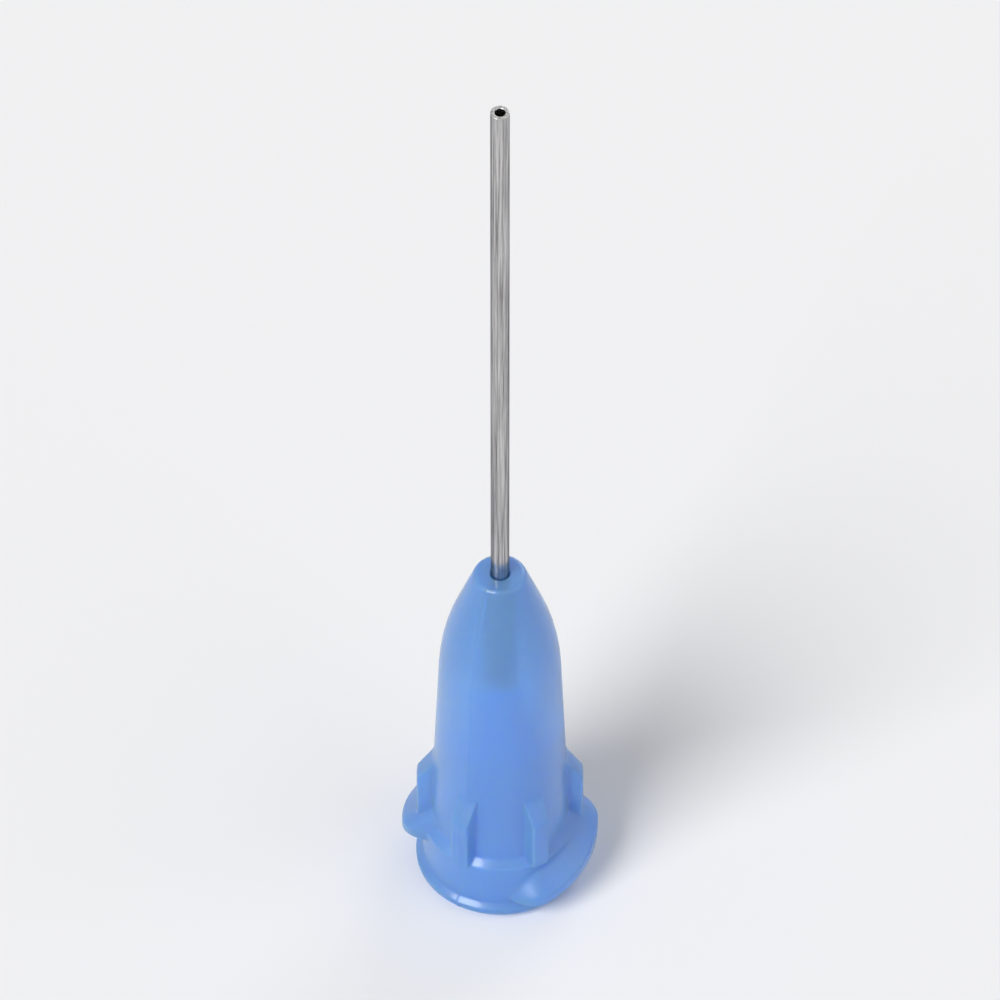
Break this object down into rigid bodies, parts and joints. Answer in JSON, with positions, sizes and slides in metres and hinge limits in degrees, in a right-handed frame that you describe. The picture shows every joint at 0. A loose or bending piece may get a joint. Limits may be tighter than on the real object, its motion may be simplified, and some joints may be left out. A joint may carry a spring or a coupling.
{
  "type": "dispensing needle tip",
  "caption": "Blunt straight dispensing needle: a thin steel cannula moulded into a translucent blue plastic hub with a tapered luer socket and lock thread lugs.",
  "frame": {"origin": "centre of the hub's open end face, on the needle's axis", "axes": "+Z along the needle's axis from the hub's open end towards the cannula's tip; the part stands on its open end"},
  "size_m": [0.0078, 0.007, 0.0424],
  "materials": {
    "blue_plastic": "translucent blue polypropylene, satin as moulded",
    "steel": "drawn stainless tube, bright along its length"
  },
  "bodies": {
    "root": {"hub": "blue_plastic", "cannula": "steel"}
  },
  "joints": []
}
